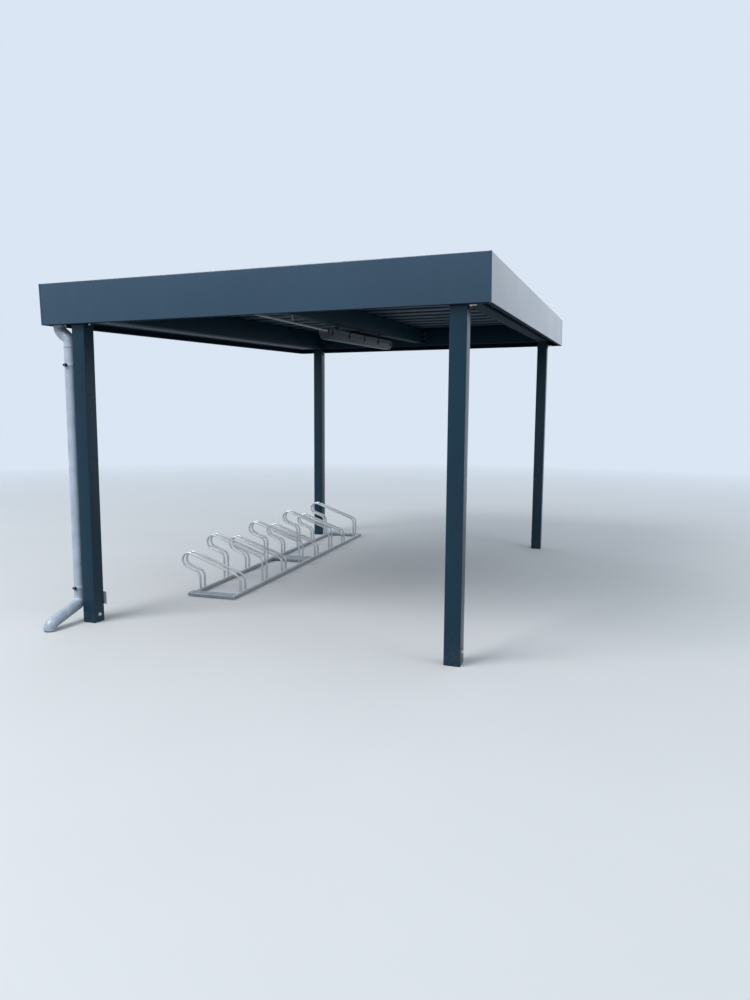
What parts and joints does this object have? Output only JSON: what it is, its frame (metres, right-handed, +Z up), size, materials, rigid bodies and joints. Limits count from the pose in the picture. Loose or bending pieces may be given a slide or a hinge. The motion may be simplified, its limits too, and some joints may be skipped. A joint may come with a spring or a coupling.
{
  "type": "bike shelter",
  "caption": "Open steel canopy on posts with a flat roof, edge fascia, gutter and downpipe, a ceiling lamp and a two-level bicycle rack.",
  "frame": {"origin": "on the ground, under the middle of the outline's rectangle", "axes": "+X to the right as seen from the front, +Y to the rear, +Z up"},
  "size_m": [3.0353, 4.4132, 2.4496],
  "materials": {
    "frame_paint": "anthracite grey powder coat, semi-gloss",
    "roof_sheet": "dark coated steel sheet, satin",
    "zinc": "weathered zinc grey",
    "lamp_housing": "light grey plastic",
    "latch": "dark grey plastic",
    "conduit": "light grey plastic",
    "galvanised": "hot-dip galvanised, dull with bright spots"
  },
  "bodies": {
    "root": {"post_front_left": "frame_paint", "post_front_right": "frame_paint", "post_rear_left": "frame_paint", "post_rear_right": "frame_paint", "beam_front": "frame_paint", "beam_rear": "frame_paint", "beam_left": "frame_paint", "beam_right": "frame_paint", "purlin_middle": "frame_paint", "roof_sheet_1": "roof_sheet", "roof_sheet_2": "roof_sheet", "roof_sheet_3": "roof_sheet", "roof_sheet_4": "roof_sheet", "roof_sheet_5": "roof_sheet", "fascia_front": "frame_paint", "fascia_rear": "frame_paint", "fascia_left": "frame_paint", "fascia_right": "frame_paint", "brackets_front": "frame_paint", "brackets_rear": "frame_paint", "brackets_right": "frame_paint", "gutter": "frame_paint", "gutter_ends": "frame_paint", "gutter_outlet": "zinc", "downpipe_bend": "zinc", "downpipe": "zinc", "downpipe_clips": "zinc", "downpipe_shoe": "zinc", "lamp_tray": "lamp_housing", "lamp_cover": "lamp_housing", "lamp_latches": "latch", "lamp_hangers": "frame_paint", "lamp_conduit": "conduit", "rack_rail_front": "galvanised", "rack_rail_rear": "galvanised", "rack_plate_near": "galvanised", "rack_plate_middle": "galvanised", "rack_plate_far": "galvanised", "rack_hoops_1": "galvanised", "rack_hoops_2": "galvanised", "rack_hoops_3": "galvanised", "rack_hoops_4": "galvanised", "rack_hoops_5": "galvanised", "rack_hoops_6": "galvanised", "rack_hoops_7": "galvanised", "rack_hoops_8": "galvanised"}
  },
  "joints": []
}
